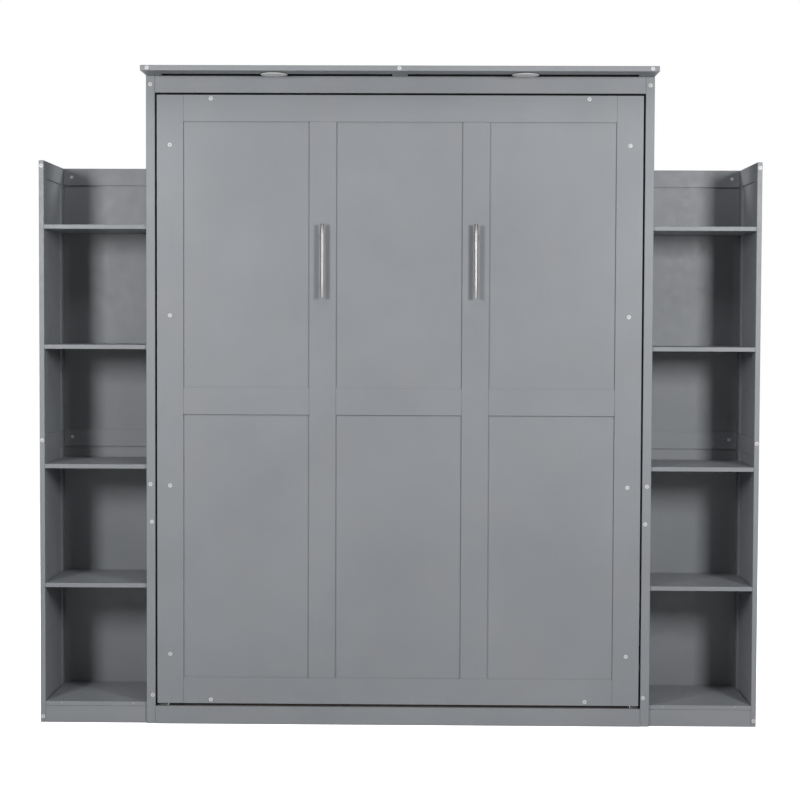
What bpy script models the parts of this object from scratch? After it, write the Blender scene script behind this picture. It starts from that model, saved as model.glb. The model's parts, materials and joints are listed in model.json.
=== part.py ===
"""A vertical wall bed in its cabinet, between two open shelf towers.

Frame: +X to the right, +Y towards the wall, +Z up, in metres.  The bed is shut.  Sizes in Y are given
from the front edge of the cabinet's side panels, and the last step moves the whole bed so that the
origin is on the floor under the middle of its outer box.

The bed (door, frame and slats) hinges forward and down about PIVOT.  Two gas struts and two foot legs
move with it, and the lens of each light is a push button.
"""

import math

import bmesh
import bpy
from mathutils import Matrix, Vector

# ---- driving dimensions, in metres ----------------------------------------------------------------
TOUCH_GAP = 0.0003  # left between pieces that touch
CHAMFER = 0.001  # eased edge of a board
FRAME_W = 0.060  # width of the frame round a recessed panel

CABINET_HALF = 0.863
CABINET_DEPTH = 0.380
TOTAL_HEIGHT = 2.235
SIDE_THICK = 0.030
RAIL_THICK = 0.018
BACK_RAIL_THICK = 0.015
BACK_RAIL_HEIGHT = 0.100
BACK_RAIL_MIDDLE = 1.200
TOP_RAIL_LOW = 2.160
BASE_RAIL_TOP = 0.0605

CROWN_THICK = 0.018
CROWN_OVERHANG = 0.135
CROWN_FRONT_RAIL = 0.083
CROWN_END_STILE = 0.055
CROWN_CENTRE_STILE = 0.052
CROWN_RECESS = 0.012

TOWER_HALF = 1.231
TOWER_SETBACK = 0.0085
TOWER_HEIGHT = 1.931
TOWER_SIDE_THICK = 0.017
TOWER_PANEL_RECESS = 0.005
TOWER_BACK_RECESS = 0.007
TOWER_MIDDLE_RAIL_LOW = 0.932
SHELF_THICK = 0.015
SHELF_PITCH = 0.410
BOTTOM_BOARD_TOP = 0.073
SHELF_COUNT = 4

DOOR_HALF = 0.8263
DOOR_LOW = 0.071
DOOR_TOP = 2.153
DOOR_FRONT = 0.001
STRIP_THICK = 0.006
STRIP_EASE = 0.0006
DOOR_PANEL_THICK = 0.015
OUTER_STILE = 0.090
INNER_STILE = 0.091
DOOR_RAIL = 0.090
DOOR_MIDDLE_RAIL = 0.092

HANDLE_Z = 1.591
HANDLE_LENGTH = 0.250
HANDLE_RADIUS = 0.0065
HANDLE_STAND_OFF = 0.027
POST_SPACING = 0.160
POST_RADIUS = 0.005

BED_HALF = 0.783
BED_LOW = 0.073
BED_TOP = 2.151
BED_RAIL_DEPTH = 0.127
LEDGE_WIDTH = 0.020
SLAT_COUNT = 14
SLAT_WIDTH = 0.070
SLAT_THICK = 0.012
SLAT_FACE = 0.058
STRAP_WIDTH = 0.030
STRAP_THICK = 0.0015
STRAP_OFFSETS = (-0.45, 0.0, 0.45)
BEAM_HALF = 0.020

PIVOT = Vector((0.0, 0.115, 0.300))
PIN_RADIUS = 0.010
FLANGE_RADIUS = 0.028
FLANGE_THICK = 0.006

STRUT_FOOT = Vector((0.0, 0.065, 0.240))  # on the cabinet
STRUT_HEAD = Vector((0.0, 0.115, 0.800))  # on the bed, shut
STRUT_X = 0.808
STRUT_RADIUS = 0.011
ROD_RADIUS = 0.005
EYE_RADIUS = 0.012
EYE_WIDTH = 0.013
STUD_RADIUS = 0.004
BRACKET_THICK = 0.004

LEG_PIVOT = Vector((0.0, 0.058, 2.130))
LEG_STORED = math.radians(-20.0)  # the shut leg's slope, measured from +Y towards +Z
LEG_X = (0.790, 0.810)
LEG_HALF = 0.010  # half the width of the square tube
LEG_CRANK = 0.026  # from the pivot to the arm's near face, clear of the door's top edge
LEG_FLOOR_GAP = 0.001
LEG_BOLT_RADIUS = 0.005

LIGHT_X = 0.422
LIGHT_Y = -0.065
LIGHT_RADIUS = 0.045
LIGHT_BODY_RADIUS = 0.030
LIGHT_FLANGE = 0.005
LENS_RADIUS = 0.036
LENS_THICK = 0.0023
LENS_PROUD = 0.0005
LENS_RECESS = 0.0038

# ---- sizes that follow from them ------------------------------------------------------------------
CABINET_INSIDE = CABINET_HALF - SIDE_THICK
CROWN_LOW = TOTAL_HEIGHT - CROWN_THICK
BACK_RAIL_FRONT = CABINET_DEPTH - BACK_RAIL_THICK
DOOR_PANEL_FRONT = DOOR_FRONT + STRIP_THICK + TOUCH_GAP
DOOR_BACK = DOOR_PANEL_FRONT + DOOR_PANEL_THICK
DOOR_PANEL_WIDTH = (2.0 * DOOR_HALF - 2.0 * OUTER_STILE - 2.0 * INNER_STILE) / 3.0
INNER_STILE_X = (DOOR_PANEL_WIDTH + INNER_STILE) / 2.0
BED_FRONT = DOOR_BACK + TOUCH_GAP
BED_BACK = BED_FRONT + BED_RAIL_DEPTH
BED_INSIDE = BED_HALF - RAIL_THICK
SLAT_BACK = SLAT_FACE - SLAT_THICK

SIDES = (("left", -1.0), ("right", 1.0))


# ---- scene, materials and shapes ------------------------------------------------------------------
def clear_scene():
    for obj in list(bpy.data.objects):
        bpy.data.objects.remove(obj, do_unlink=True)


def make_material(name, colour, roughness, metallic=0.0):
    material = bpy.data.materials.new(name)
    material.use_nodes = True
    shader = material.node_tree.nodes["Principled BSDF"]
    shader.inputs["Base Color"].default_value = (*colour, 1.0)
    shader.inputs["Roughness"].default_value = roughness
    shader.inputs["Metallic"].default_value = metallic
    return material


def make_axis(name, location, parent=None):
    """An empty on a joint's axis, for the moving pieces to hang from."""
    axis = bpy.data.objects.new(name, None)
    bpy.context.collection.objects.link(axis)
    axis.empty_display_size = 0.1
    axis["world"] = tuple(location)
    axis.location = location - world_of(parent)
    axis.parent = parent
    return axis


def world_of(axis):
    return Vector(axis["world"]) if axis else Vector((0.0, 0.0, 0.0))


def mesh_from(bm, name="shape"):
    bmesh.ops.recalc_face_normals(bm, faces=bm.faces)
    mesh = bpy.data.meshes.new(name)
    bm.to_mesh(mesh)
    bm.free()
    return mesh


def box(low, high, chamfer=CHAMFER):
    bm = bmesh.new()
    bmesh.ops.create_cube(bm, size=1.0)
    low, high = Vector(low), Vector(high)
    size = high - low
    bmesh.ops.scale(bm, vec=size, verts=bm.verts)
    bmesh.ops.translate(bm, vec=(low + high) / 2.0, verts=bm.verts)
    if chamfer:
        bmesh.ops.bevel(bm, geom=bm.edges, offset=chamfer, segments=1, affect="EDGES")
    return mesh_from(bm)


def turned(profile, segments=40):
    """A solid turned about Z from (radius, height) points; a point on the axis closes it."""
    bm = bmesh.new()
    rings = []
    for radius, height in profile:
        if radius == 0.0:
            rings.append([bm.verts.new((0.0, 0.0, height))])
            continue
        ring = []
        for step in range(segments):
            angle = 2.0 * math.pi * step / segments
            ring.append(bm.verts.new((radius * math.cos(angle), radius * math.sin(angle), height)))
        rings.append(ring)
    for lower, upper in zip(rings, rings[1:]):
        for step in range(segments):
            after = (step + 1) % segments
            if len(lower) == 1:
                bm.faces.new((lower[0], upper[after], upper[step]))
            elif len(upper) == 1:
                bm.faces.new((lower[step], lower[after], upper[0]))
            else:
                bm.faces.new((lower[step], lower[after], upper[after], upper[step]))
    return mesh_from(bm)


def rod(start, end, radius, segments=32, chamfer=0.0):
    """A round bar between two points."""
    start, end = Vector(start), Vector(end)
    length = (end - start).length
    profile = [(0.0, 0.0), (radius - chamfer, 0.0)]
    if chamfer:
        profile += [(radius, chamfer), (radius, length - chamfer)]
    profile += [(radius - chamfer, length), (0.0, length)]
    mesh = turned(profile, segments)
    turn = Vector((0.0, 0.0, 1.0)).rotation_difference(end - start).to_matrix().to_4x4()
    mesh.transform(Matrix.Translation(start) @ turn)
    return mesh


def prism(outline, x_low, x_high):
    """A (y, z) outline drawn out along X."""
    bm = bmesh.new()
    near = [bm.verts.new((x_low, y, z)) for y, z in outline]
    far = [bm.verts.new((x_high, y, z)) for y, z in outline]
    bm.faces.new(near)
    bm.faces.new(far)
    for index in range(len(outline)):
        after = (index + 1) % len(outline)
        bm.faces.new((near[index], near[after], far[after], far[index]))
    return mesh_from(bm)


def combine(base, tool, operation):
    """One mesh from two: operation is UNION or DIFFERENCE."""
    body = bpy.data.objects.new("combine_body", base)
    other = bpy.data.objects.new("combine_tool", tool)
    for obj in (body, other):
        bpy.context.collection.objects.link(obj)
    boolean = body.modifiers.new("combine", "BOOLEAN")
    boolean.operation = operation
    boolean.solver = "EXACT"
    boolean.object = other
    bpy.context.view_layer.update()
    graph = bpy.context.evaluated_depsgraph_get()
    result = bpy.data.meshes.new_from_object(body.evaluated_get(graph))
    for obj in (body, other):
        bpy.data.objects.remove(obj, do_unlink=True)
    return result


def cut(base, *tools):
    for tool in tools:
        base = combine(base, tool, "DIFFERENCE")
    return base


def join(base, *tools):
    for tool in tools:
        base = combine(base, tool, "UNION")
    return base


def span(side, near, far):
    """The X range between two distances from the middle, on the given side."""
    return tuple(sorted((side * near, side * far)))


def sided_box(side, x_range, y_range, z_range, chamfer=CHAMFER):
    x_low, x_high = span(side, *x_range)
    return box((x_low, y_range[0], z_range[0]), (x_high, y_range[1], z_range[1]), chamfer)


def place(name, mesh, material, axis=None, rounded=False):
    """Make the sub-part from a mesh in world position; its origin is its own middle."""
    middle = Vector((0.0, 0.0, 0.0))
    for corner in bounds_of(mesh):
        middle += corner / 2.0
    mesh.transform(Matrix.Translation(-middle))
    obj = add_object(name, mesh, material, rounded)
    obj.location = middle - world_of(axis)
    obj.parent = axis
    return obj


def add_object(name, mesh, material, rounded):
    mesh.name = name
    mesh.materials.clear()
    mesh.materials.append(material)
    if rounded:
        mesh.shade_smooth()
        mesh.set_sharp_from_angle(angle=math.radians(35.0))
    obj = bpy.data.objects.new(name, mesh)
    bpy.context.collection.objects.link(obj)
    return obj


def bounds_of(mesh):
    low = Vector((min(v.co[axis] for v in mesh.vertices) for axis in range(3)))
    high = Vector((max(v.co[axis] for v in mesh.vertices) for axis in range(3)))
    return low, high


# ---- cabinet ---------------------------------------------------------------------------------------
def make_cabinet_sides(paint):
    for word, side in SIDES:
        z_range = (0.0, CROWN_LOW - TOUCH_GAP)
        mesh = sided_box(side, (CABINET_INSIDE, CABINET_HALF), (0.0, CABINET_DEPTH), z_range)
        place(f"cabinet_side_{word}", mesh, paint)


def make_crown(paint):
    """The top board: a frame with two recessed panels underneath, and a seat for each light."""
    board = box((-CABINET_HALF, -CROWN_OVERHANG, CROWN_LOW), (CABINET_HALF, CABINET_DEPTH, TOTAL_HEIGHT))
    below = CROWN_LOW - CROWN_THICK
    ceiling = CROWN_LOW + CROWN_RECESS
    front = -CROWN_OVERHANG + CROWN_FRONT_RAIL
    back = CABINET_DEPTH - FRAME_W
    for _, side in SIDES:
        x_low, x_high = span(side, CROWN_CENTRE_STILE / 2.0, CABINET_HALF - CROWN_END_STILE)
        recess = box((x_low, front, below), (x_high, back, ceiling), chamfer=0.0)
        seat_radius = LIGHT_BODY_RADIUS + 4.0 * TOUCH_GAP
        seat = rod((side * LIGHT_X, LIGHT_Y, below), (side * LIGHT_X, LIGHT_Y, ceiling), seat_radius)
        board = cut(board, join(recess, seat))
    place("crown_board", board, paint)


def make_cabinet_rails(paint):
    half = CABINET_INSIDE - TOUCH_GAP
    front = DOOR_FRONT - 0.0005
    top = CROWN_LOW - TOUCH_GAP
    place("top_rail", box((-half, front, TOP_RAIL_LOW), (half, front + RAIL_THICK, top)), paint)
    place("base_rail", box((-half, front, 0.0), (half, front + RAIL_THICK, BASE_RAIL_TOP)), paint)
    lows = {"bottom": 0.0, "middle": BACK_RAIL_MIDDLE, "top": top - BACK_RAIL_HEIGHT}
    for word, low in lows.items():
        mesh = box((-half, BACK_RAIL_FRONT, low), (half, CABINET_DEPTH, low + BACK_RAIL_HEIGHT))
        place(f"back_rail_{word}", mesh, paint)


# ---- shelf towers ----------------------------------------------------------------------------------
def panel_heights():
    """The low and high edge of the lower and upper recessed panel."""
    middle_top = TOWER_MIDDLE_RAIL_LOW + FRAME_W
    return ((FRAME_W, TOWER_MIDDLE_RAIL_LOW), (middle_top, TOWER_HEIGHT - FRAME_W))


def make_tower_side(word, side, paint):
    inner = TOWER_HALF - TOWER_SIDE_THICK
    mesh = sided_box(side, (inner, TOWER_HALF), (TOWER_SETBACK, CABINET_DEPTH), (0.0, TOWER_HEIGHT))
    y_range = (TOWER_SETBACK + FRAME_W, CABINET_DEPTH - FRAME_W)
    faces = (
        (inner - TOWER_PANEL_RECESS, inner + TOWER_PANEL_RECESS),
        (TOWER_HALF - TOWER_PANEL_RECESS, TOWER_HALF + TOWER_PANEL_RECESS),
    )
    for z_range in panel_heights():
        for x_range in faces:
            mesh = cut(mesh, sided_box(side, x_range, y_range, z_range, chamfer=0.0))
    place(f"tower_{word}_side", mesh, paint)


def make_tower_back(word, side, paint):
    inner = CABINET_HALF + TOUCH_GAP
    outer = TOWER_HALF - TOWER_SIDE_THICK - TOUCH_GAP
    mesh = sided_box(side, (inner, outer), (BACK_RAIL_FRONT, CABINET_DEPTH), (0.0, TOWER_HEIGHT))
    y_range = (BACK_RAIL_FRONT - TOWER_BACK_RECESS, BACK_RAIL_FRONT + TOWER_BACK_RECESS)
    for z_range in panel_heights():
        recess = sided_box(side, (inner - FRAME_W, outer + FRAME_W), y_range, z_range, chamfer=0.0)
        mesh = cut(mesh, recess)
    place(f"tower_{word}_back", mesh, paint)


def make_tower_boards(word, side, paint):
    x_range = (CABINET_HALF + TOUCH_GAP, TOWER_HALF - TOWER_SIDE_THICK - TOUCH_GAP)
    y_range = (TOWER_SETBACK, BACK_RAIL_FRONT - TOUCH_GAP)
    names = [f"tower_{word}_bottom"] + [f"tower_{word}_shelf_{n + 1}" for n in range(SHELF_COUNT)]
    for index, name in enumerate(names):
        top = BOTTOM_BOARD_TOP + index * SHELF_PITCH
        place(name, sided_box(side, x_range, y_range, (top - SHELF_THICK, top)), paint)
    kick_top = BOTTOM_BOARD_TOP - SHELF_THICK - TOUCH_GAP
    kick_y = (TOWER_SETBACK, TOWER_SETBACK + BACK_RAIL_THICK)
    place(f"tower_{word}_toe_kick", sided_box(side, x_range, kick_y, (0.0, kick_top)), paint)


# ---- door ------------------------------------------------------------------------------------------
def make_door(paint, axis):
    """One flat panel with applied strips: two outer stiles, two inner stiles and five rails."""
    panel = box((-DOOR_HALF, DOOR_PANEL_FRONT, DOOR_LOW), (DOOR_HALF, DOOR_BACK, DOOR_TOP))
    place("door_panel", panel, paint, axis)

    def strip(name, x_low, x_high, z_low, z_high):
        mesh = box((x_low, DOOR_FRONT, z_low), (x_high, DOOR_FRONT + STRIP_THICK, z_high), STRIP_EASE)
        place(name, mesh, paint, axis)

    stile_inside = DOOR_HALF - OUTER_STILE
    rail_half = stile_inside - TOUCH_GAP
    strip("door_rail_bottom", -rail_half, rail_half, DOOR_LOW, DOOR_LOW + DOOR_RAIL)
    strip("door_rail_top", -rail_half, rail_half, DOOR_TOP - DOOR_RAIL, DOOR_TOP)
    inner_low = DOOR_LOW + DOOR_RAIL + TOUCH_GAP
    inner_high = DOOR_TOP - DOOR_RAIL - TOUCH_GAP
    middle = (DOOR_LOW + DOOR_TOP) / 2.0
    middle_low = middle - DOOR_MIDDLE_RAIL / 2.0
    middle_high = middle + DOOR_MIDDLE_RAIL / 2.0
    for word, side in SIDES:
        strip(f"door_stile_{word}", *span(side, stile_inside, DOOR_HALF), DOOR_LOW, DOOR_TOP)
        near = INNER_STILE_X - INNER_STILE / 2.0
        far = INNER_STILE_X + INNER_STILE / 2.0
        strip(f"door_inner_stile_{word}", *span(side, near, far), inner_low, inner_high)
        rail = span(side, far + TOUCH_GAP, rail_half)
        strip(f"door_middle_rail_{word}", *rail, middle_low, middle_high)
    half = DOOR_PANEL_WIDTH / 2.0 - TOUCH_GAP
    strip("door_middle_rail_centre", -half, half, middle_low, middle_high)


def make_handles(steel, axis):
    """A bar pull: a round bar on two posts that stand on the inner stile."""
    foot = DOOR_FRONT - TOUCH_GAP
    bar_y = DOOR_FRONT - HANDLE_STAND_OFF
    for word, side in SIDES:
        x = side * INNER_STILE_X
        low = HANDLE_Z - HANDLE_LENGTH / 2.0
        high = HANDLE_Z + HANDLE_LENGTH / 2.0
        mesh = rod((x, bar_y, low), (x, bar_y, high), HANDLE_RADIUS, chamfer=0.0006)
        for end in (-0.5, 0.5):
            z = HANDLE_Z + end * POST_SPACING
            mesh = join(mesh, rod((x, foot, z), (x, bar_y, z), POST_RADIUS, segments=24))
        place(f"handle_{word}", mesh, steel, axis, rounded=True)


# ---- bed frame -------------------------------------------------------------------------------------
def make_bed_rails(paint, axis):
    """Two side rails with a ledge for the slats, and the head and foot rails between them."""
    ledge_y = (BED_FRONT, SLAT_BACK - TOUCH_GAP)
    ledge_z = (BED_LOW + RAIL_THICK, BED_TOP - 2.0 * RAIL_THICK - SLAT_WIDTH)
    for word, side in SIDES:
        rail = sided_box(side, (BED_INSIDE, BED_HALF), (BED_FRONT, BED_BACK), (BED_LOW, BED_TOP))
        ledge = sided_box(side, (BED_INSIDE - LEDGE_WIDTH, BED_INSIDE + 0.002), ledge_y, ledge_z, 0.0)
        start = (side * (BED_INSIDE - 0.01), LEG_PIVOT.y, LEG_PIVOT.z)
        end = (side * (BED_HALF + 0.01), LEG_PIVOT.y, LEG_PIVOT.z)
        bolt_hole = rod(start, end, LEG_BOLT_RADIUS + 2.0 * TOUCH_GAP, segments=24)
        place(f"bed_side_rail_{word}", cut(join(rail, ledge), bolt_hole), paint, axis)
    half = BED_INSIDE - TOUCH_GAP
    for word, low in (("head", BED_LOW), ("foot", BED_TOP - RAIL_THICK)):
        mesh = box((-half, BED_FRONT, low), (half, BED_BACK, low + RAIL_THICK))
        place(f"bed_{word}_rail", mesh, paint, axis)


def make_centre_beam(paint, axis):
    low = BED_LOW + RAIL_THICK + TOUCH_GAP
    high = BED_TOP - RAIL_THICK - TOUCH_GAP
    back = SLAT_BACK - STRAP_THICK - TOUCH_GAP
    place("centre_beam", box((-BEAM_HALF, BED_FRONT, low), (BEAM_HALF, back, high)), paint, axis)


def make_slat_deck(wood, axis):
    """Flat slats held at their spacing by three straps, the way a roll-out slat base is made."""
    half = BED_INSIDE - 2.0 * TOUCH_GAP
    first = BED_LOW + 2.0 * RAIL_THICK
    last = BED_TOP - 2.0 * RAIL_THICK - SLAT_WIDTH - 0.02
    pitch = (last - first) / (SLAT_COUNT - 1)
    straps = []
    for offset in STRAP_OFFSETS:
        low = (offset - STRAP_WIDTH / 2.0, SLAT_BACK - STRAP_THICK, first)
        high = (offset + STRAP_WIDTH / 2.0, SLAT_BACK + STRAP_THICK, last + SLAT_WIDTH)
        straps.append(box(low, high, chamfer=0.0))
    mesh = box((-half, SLAT_BACK, first), (half, SLAT_FACE, first + SLAT_WIDTH))
    mesh = join(mesh, *straps)
    for index in range(1, SLAT_COUNT):
        z = first + index * pitch
        mesh = join(mesh, box((-half, SLAT_BACK, z), (half, SLAT_FACE, z + SLAT_WIDTH)))
    place("slat_deck", mesh, wood, axis)


# ---- folding mechanism -----------------------------------------------------------------------------
def make_pivots(metal, axis):
    """Each side's pin stands on a flange on the bed and turns in a collared plate on the cabinet."""
    for word, side in SIDES:
        y, z = PIVOT.y, PIVOT.z
        rail_face = BED_HALF + TOUCH_GAP
        wall_face = CABINET_INSIDE - TOUCH_GAP
        flange = rod((side * rail_face, y, z), (side * (rail_face + FLANGE_THICK), y, z), FLANGE_RADIUS)
        pin = rod((side * (rail_face + 0.001), y, z), (side * (wall_face - TOUCH_GAP), y, z), PIN_RADIUS)
        place(f"pivot_pin_{word}", join(flange, pin), metal, axis, rounded=True)
        plate = rod((side * (wall_face - FLANGE_THICK), y, z), (side * wall_face, y, z), FLANGE_RADIUS)
        collar_start = wall_face - 2.5 * FLANGE_THICK
        collar = rod((side * collar_start, y, z), (side * (wall_face - 0.001), y, z), 1.8 * PIN_RADIUS)
        hole = rod(
            (side * (collar_start - 0.01), y, z),
            (side * (wall_face + 0.01), y, z),
            PIN_RADIUS + TOUCH_GAP,
        )
        place(f"pivot_bearing_{word}", cut(join(plate, collar), hole), metal, rounded=True)


def make_strut_brackets(metal, axis):
    """A plate with a stud at each end of a strut; the stud on the bed stops short of the rod's eye."""
    for word, side in SIDES:
        wall_face = CABINET_INSIDE - TOUCH_GAP
        inner_end = STRUT_X - EYE_WIDTH / 2.0 - 0.004
        foot = plate_with_stud(side, STRUT_FOOT, (wall_face - BRACKET_THICK, wall_face), inner_end)
        place(f"strut_foot_bracket_{word}", foot, metal)
        rail_face = BED_HALF + TOUCH_GAP
        outer_end = STRUT_X - EYE_WIDTH / 2.0 - 0.001
        head = plate_with_stud(side, STRUT_HEAD, (rail_face, rail_face + BRACKET_THICK), outer_end)
        place(f"strut_head_bracket_{word}", head, metal, axis)


def plate_with_stud(side, centre, plate_x, stud_end):
    half_width, half_height = 0.020, 0.030
    mesh = sided_box(
        side,
        plate_x,
        (centre.y - half_width, centre.y + half_width),
        (centre.z - half_height, centre.z + half_height),
        0.0005,
    )
    start = (side * sum(plate_x) / 2.0, centre.y, centre.z)
    return join(mesh, rod(start, (side * stud_end, centre.y, centre.z), STUD_RADIUS, segments=24))


def eye(height):
    """The round end of a strut, drilled across for its stud."""
    half = EYE_WIDTH / 2.0
    disc = rod((-half, 0.0, height), (half, 0.0, height), EYE_RADIUS)
    drill = STUD_RADIUS + 2.0 * TOUCH_GAP
    hole = rod((-2.0 * half, 0.0, height), (2.0 * half, 0.0, height), drill, segments=24)
    return disc, hole


def make_struts(black, steel):
    """Gas struts, shut at full length: a cylinder hinged on the cabinet and a rod that slides in it."""
    reach = STRUT_HEAD - STRUT_FOOT
    length = reach.length
    lean = -math.atan2(reach.y, reach.z)
    tube_low, bore_low, tube_top = 0.008, 0.030, 0.70 * length
    bore = ROD_RADIUS + 2.0 * TOUCH_GAP
    outside = [(0.0, tube_low), (STRUT_RADIUS, tube_low), (STRUT_RADIUS, tube_top)]
    inside = [(bore, tube_top), (bore, bore_low), (0.0, bore_low)]
    for word, side in SIDES:
        tube = turned(outside + inside, segments=32)
        disc, hole = eye(0.0)
        add_strut_piece(f"strut_cylinder_{word}", cut(join(tube, disc), hole), black, side, lean)
        bar = rod((0.0, 0.0, length * 0.5), (0.0, 0.0, length - 0.008), ROD_RADIUS, segments=24)
        disc, hole = eye(length)
        add_strut_piece(f"strut_rod_{word}", cut(join(bar, disc), hole), steel, side, lean)


def add_strut_piece(name, mesh, material, side, lean):
    """A strut is drawn upright at the origin, which is its hinge, and leans about X."""
    obj = add_object(name, mesh, material, rounded=True)
    obj.location = (side * STRUT_X, STRUT_FOOT.y, STRUT_FOOT.z)
    obj.rotation_euler = (lean, 0.0, 0.0)


def make_foot_legs(metal, bed_axis):
    """Cranked legs: folded beside the slats when shut, down to the floor round the door's top edge."""
    reach = LEG_PIVOT.y + (PIVOT.z - PIVOT.y) - LEG_FLOOR_GAP
    near, far = LEG_CRANK, LEG_CRANK + 2.0 * LEG_HALF
    hub = [(-LEG_HALF, -far), (-LEG_HALF, 0.012), (LEG_HALF, 0.012)]
    arm = [(LEG_HALF, -near), (reach, -near), (reach, -far)]
    for word, side in SIDES:
        leg = prism(hub + arm, *span(side, *LEG_X))
        inside_leg = side * (LEG_X[0] + 0.002)
        boss = rod((side * (BED_HALF + 0.0005), 0.0, 0.0), (inside_leg, 0.0, 0.0), LEG_HALF - 0.001)
        bolt = rod((side * (BED_INSIDE + 0.001), 0.0, 0.0), (inside_leg, 0.0, 0.0), LEG_BOLT_RADIUS, 24)
        mesh = join(leg, boss, bolt)
        axis = make_axis(f"leg_axis_{word}", LEG_PIVOT, bed_axis)
        obj = add_object(f"foot_leg_{word}", mesh, metal, rounded=True)
        obj.rotation_euler = (LEG_STORED, 0.0, 0.0)
        obj.parent = axis


# ---- lights ----------------------------------------------------------------------------------------
def make_lights(plastic, lens_plastic):
    """Battery lights under the crown: a flanged housing with a round push-button lens."""
    low = CROWN_LOW - TOUCH_GAP - LIGHT_FLANGE
    for word, side in SIDES:
        housing = turned(
            [
                (0.0, low + LENS_RECESS),
                (LENS_RADIUS + 2.0 * TOUCH_GAP, low + LENS_RECESS),
                (LENS_RADIUS + 2.0 * TOUCH_GAP, low),
                (LIGHT_RADIUS - 0.002, low),
                (LIGHT_RADIUS, low + 0.002),
                (LIGHT_RADIUS, low + LIGHT_FLANGE),
                (LIGHT_BODY_RADIUS, low + LIGHT_FLANGE),
                (LIGHT_BODY_RADIUS, CROWN_LOW + CROWN_RECESS - TOUCH_GAP),
                (0.0, CROWN_LOW + CROWN_RECESS - TOUCH_GAP),
            ],
            segments=64,
        )
        lens_low = low - LENS_PROUD
        lens = turned(
            [
                (0.0, lens_low),
                (LENS_RADIUS - 0.0006, lens_low),
                (LENS_RADIUS, lens_low + 0.0006),
                (LENS_RADIUS, lens_low + LENS_THICK),
                (0.0, lens_low + LENS_THICK),
            ],
            segments=64,
        )
        for mesh in (housing, lens):
            mesh.transform(Matrix.Translation((side * LIGHT_X, LIGHT_Y, 0.0)))
        place(f"light_housing_{word}", housing, plastic, rounded=True)
        place(f"light_lens_{word}", lens, lens_plastic, rounded=True)


def centre_on_floor():
    """The outer box runs in Y from the crown's front edge to the back of the cabinet."""
    middle = (CABINET_DEPTH - CROWN_OVERHANG) / 2.0
    for obj in bpy.data.objects:
        if obj.parent is None:
            obj.location.y -= middle


def main():
    clear_scene()
    paint = make_material("grey_paint", (0.28, 0.30, 0.31), 0.45)
    wood = make_material("bare_wood", (0.62, 0.47, 0.30), 0.6)
    metal = make_material("powder_coated_steel", (0.05, 0.05, 0.055), 0.5, 0.6)
    steel = make_material("brushed_steel", (0.60, 0.60, 0.60), 0.3, 1.0)
    black = make_material("black_paint", (0.02, 0.02, 0.02), 0.35)
    plastic = make_material("white_plastic", (0.75, 0.75, 0.75), 0.35)
    lens_plastic = make_material("frosted_lens", (0.85, 0.85, 0.83), 0.5)

    make_cabinet_sides(paint)
    make_crown(paint)
    make_cabinet_rails(paint)
    for word, side in SIDES:
        make_tower_side(word, side, paint)
        make_tower_back(word, side, paint)
        make_tower_boards(word, side, paint)

    bed_axis = make_axis("bed_axis", PIVOT)
    make_door(paint, bed_axis)
    make_handles(steel, bed_axis)
    make_bed_rails(paint, bed_axis)
    make_centre_beam(paint, bed_axis)
    make_slat_deck(wood, bed_axis)
    make_pivots(metal, bed_axis)
    make_strut_brackets(metal, bed_axis)
    make_struts(black, steel)
    make_foot_legs(metal, bed_axis)
    make_lights(plastic, lens_plastic)
    centre_on_floor()


main()
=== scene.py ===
"""Looks for the vertical wall bed: paint, steel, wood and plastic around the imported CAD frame.

Everything is in metres in the row frame: +X right, +Y to the wall, +Z up, origin on the floor
under the middle of the outer box.  Pieces are placed from the CAD nodes' boxes; the heights and
offsets of screw caps and screws are the constants below.
"""

import json
import math
import random

import bmesh
import bpy
from mathutils import Matrix, Vector


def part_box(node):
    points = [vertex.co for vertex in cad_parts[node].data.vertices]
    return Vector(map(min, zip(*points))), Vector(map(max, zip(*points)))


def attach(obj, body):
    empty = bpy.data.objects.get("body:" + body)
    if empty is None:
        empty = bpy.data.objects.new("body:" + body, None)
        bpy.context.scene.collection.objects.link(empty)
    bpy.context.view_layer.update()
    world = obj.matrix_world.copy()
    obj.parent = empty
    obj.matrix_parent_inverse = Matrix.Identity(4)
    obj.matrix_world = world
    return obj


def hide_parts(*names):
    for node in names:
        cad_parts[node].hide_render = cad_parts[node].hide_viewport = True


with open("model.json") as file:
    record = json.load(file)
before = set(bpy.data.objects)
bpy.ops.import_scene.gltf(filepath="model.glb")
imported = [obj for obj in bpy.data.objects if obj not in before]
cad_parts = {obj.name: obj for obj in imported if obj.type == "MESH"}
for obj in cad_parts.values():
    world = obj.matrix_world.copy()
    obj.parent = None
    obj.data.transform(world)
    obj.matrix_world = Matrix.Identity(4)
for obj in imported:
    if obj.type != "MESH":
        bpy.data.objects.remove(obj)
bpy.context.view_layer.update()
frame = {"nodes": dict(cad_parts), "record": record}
NODES = frame["nodes"]

SIDES = (("left", -1.0), ("right", 1.0))
FRONT = Vector((0.0, -1.0, 0.0))
BACK = Vector((0.0, 1.0, 0.0))
UP = Vector((0.0, 0.0, 1.0))
RIGHT = Vector((1.0, 0.0, 0.0))

# ---- camera, light and room ----------------------------------------------------------------------
CAMERA_PLACE = Vector((0.0917, -6.5339, 1.3881))
CAMERA_YAW = -0.0136
CAMERA_PITCH = 0.0420
CAMERA_ROLL = 0.0041
CAMERA_LENS = 84.61
SENSOR = 36.0

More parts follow.
